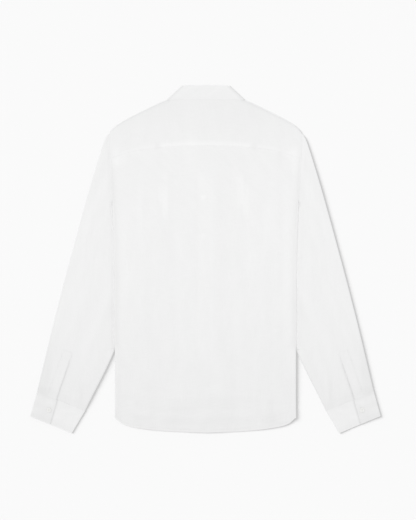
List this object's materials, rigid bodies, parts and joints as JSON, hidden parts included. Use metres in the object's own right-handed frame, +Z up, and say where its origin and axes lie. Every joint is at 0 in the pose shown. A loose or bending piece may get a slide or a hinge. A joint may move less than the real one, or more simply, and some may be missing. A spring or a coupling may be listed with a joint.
{
  "type": "linen shirt laid flat, back up",
  "caption": "Long-sleeved button-front shirt in off-white linen, laid flat on its front with its sides turned under and its sleeves angled out.",
  "frame": {"origin": "middle of the bounding box, on the surface that the shirt lies on", "axes": "+X to the right as seen from above, from one cuff to the other; +Y from the hem to the collar; +Z up, out of the back of the shirt"},
  "size_m": [0.7792, 0.7727, 0.0088],
  "materials": {
    "linen": "matt plain-weave linen",
    "button": "satin"
  },
  "bodies": {
    "root": {"back_body": "linen", "yoke": "linen", "front_left": "linen", "front_right": "linen", "front_placket": "linen", "collar_fall": "linen", "collar_stand": "linen", "sleeve_left": "linen", "sleeve_right": "linen", "cuff_left": "linen", "cuff_right": "linen", "sleeve_placket_left": "linen", "sleeve_placket_right": "linen", "front_button_1": "button", "front_button_2": "button", "front_button_3": "button", "front_button_4": "button", "front_button_5": "button", "front_button_6": "button", "stand_button": "button", "cuff_button_left": "button", "cuff_button_right": "button"}
  },
  "joints": []
}
